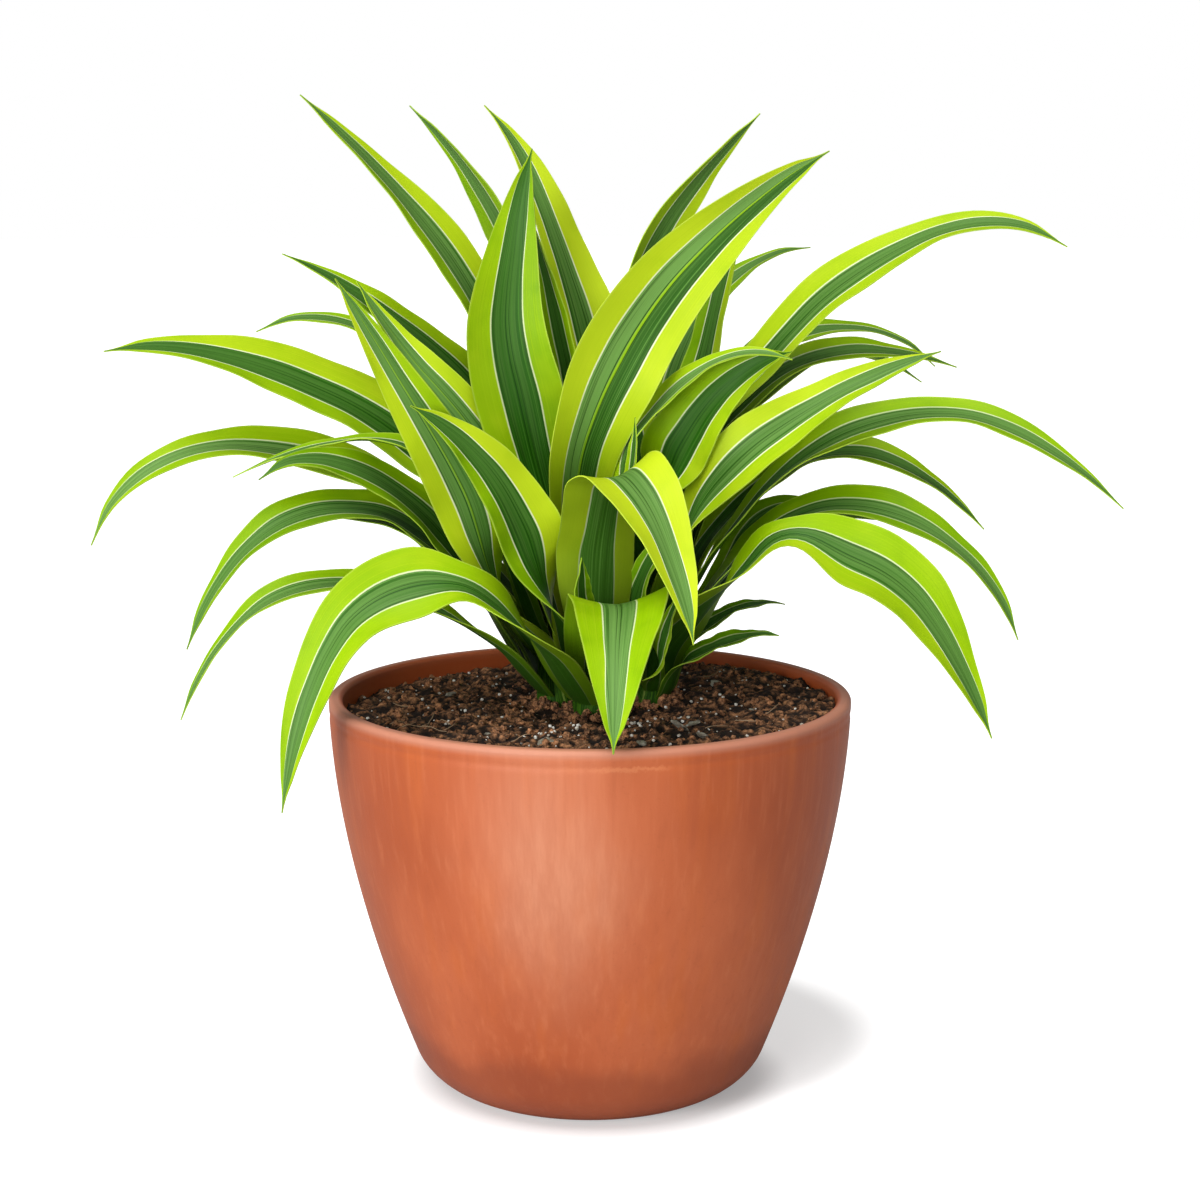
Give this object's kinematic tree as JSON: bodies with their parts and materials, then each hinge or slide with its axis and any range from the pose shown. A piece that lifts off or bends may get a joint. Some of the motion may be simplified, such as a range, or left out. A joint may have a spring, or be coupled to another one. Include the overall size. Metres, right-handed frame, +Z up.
{
  "type": "potted dracaena",
  "caption": "Bushy dracaena with long arching lance-shaped leaves, green with pale margins, on short stems in a turned terracotta pot filled with soil",
  "frame": {"origin": "the middle of the pot's flat underside, on the floor that it stands on", "axes": "+Z points up along the pot's turned axis, the pictured front of the plant faces -Y, and +X is to the right for someone who looks at that front"},
  "size_m": [0.4647, 0.3432, 0.4553],
  "materials": {
    "clay": "matte",
    "potting_soil": "matte",
    "stem": "matte",
    "leaf": "satin"
  },
  "bodies": {
    "root": {"pot": "clay", "soil": "potting_soil", "stem_left": "stem", "stem_front": "stem", "stem_right": "stem", "leaf_front_1": "leaf", "leaf_front_2": "leaf", "leaf_front_3": "leaf", "leaf_top_1": "leaf", "leaf_top_2": "leaf", "leaf_top_3": "leaf", "leaf_top_4": "leaf", "leaf_top_5": "leaf", "leaf_top_6": "leaf", "leaf_top_7": "leaf", "leaf_top_8": "leaf", "leaf_top_9": "leaf", "leaf_left_1": "leaf", "leaf_left_2": "leaf", "leaf_left_3": "leaf", "leaf_left_4": "leaf", "leaf_left_5": "leaf", "leaf_left_6": "leaf", "leaf_left_7": "leaf", "leaf_left_8": "leaf", "leaf_left_9": "leaf", "leaf_left_10": "leaf", "leaf_left_11": "leaf", "leaf_left_12": "leaf", "leaf_left_13": "leaf", "leaf_right_1": "leaf", "leaf_right_2": "leaf", "leaf_right_3": "leaf", "leaf_right_4": "leaf", "leaf_right_5": "leaf", "leaf_right_6": "leaf", "leaf_right_7": "leaf", "leaf_right_8": "leaf", "leaf_right_9": "leaf", "leaf_right_10": "leaf", "leaf_right_11": "leaf", "leaf_right_12": "leaf", "leaf_right_13": "leaf", "leaf_right_14": "leaf", "leaf_inner_1": "leaf", "leaf_inner_2": "leaf", "leaf_inner_3": "leaf", "leaf_inner_4": "leaf", "leaf_back_1": "leaf", "leaf_back_2": "leaf", "leaf_back_3": "leaf", "leaf_back_4": "leaf", "leaf_back_5": "leaf", "leaf_back_6": "leaf", "leaf_back_7": "leaf", "leaf_back_8": "leaf"}
  },
  "joints": []
}
